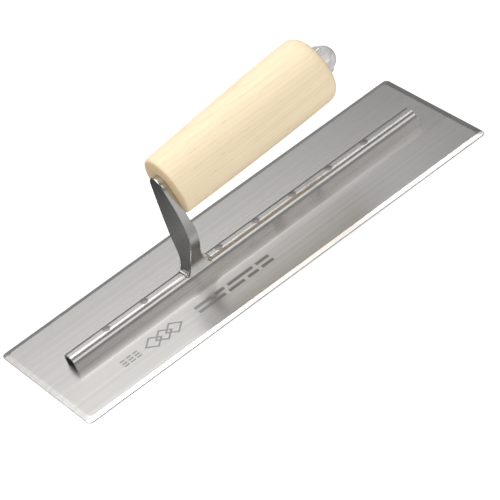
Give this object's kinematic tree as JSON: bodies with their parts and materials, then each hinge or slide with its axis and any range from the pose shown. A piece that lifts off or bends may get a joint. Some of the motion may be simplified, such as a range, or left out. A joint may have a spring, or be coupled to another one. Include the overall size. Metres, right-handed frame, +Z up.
{
  "type": "finishing trowel",
  "caption": "Hand trowel with a long flat steel blade, a channel rib riveted along its middle, and a straight wooden handle on a flared post.",
  "frame": {"origin": "middle of the blade's underside, on the working face", "axes": "+X along the blade from toe to heel, +Y across the blade, +Z up through the handle"},
  "size_m": [0.3048, 0.1016, 0.1001],
  "materials": {
    "blade_steel": "ground and brushed along its length",
    "mounting": "polished steel",
    "fastener": "bright polished steel",
    "wood": "turned and sanded pale basswood, unvarnished"
  },
  "bodies": {
    "root": {"blade": "blade_steel", "rib": "mounting", "rivets": "mounting", "post": "mounting", "post_welds": "mounting", "tang": "fastener", "handle": "wood", "washer": "fastener", "cap_nut": "fastener"}
  },
  "joints": []
}
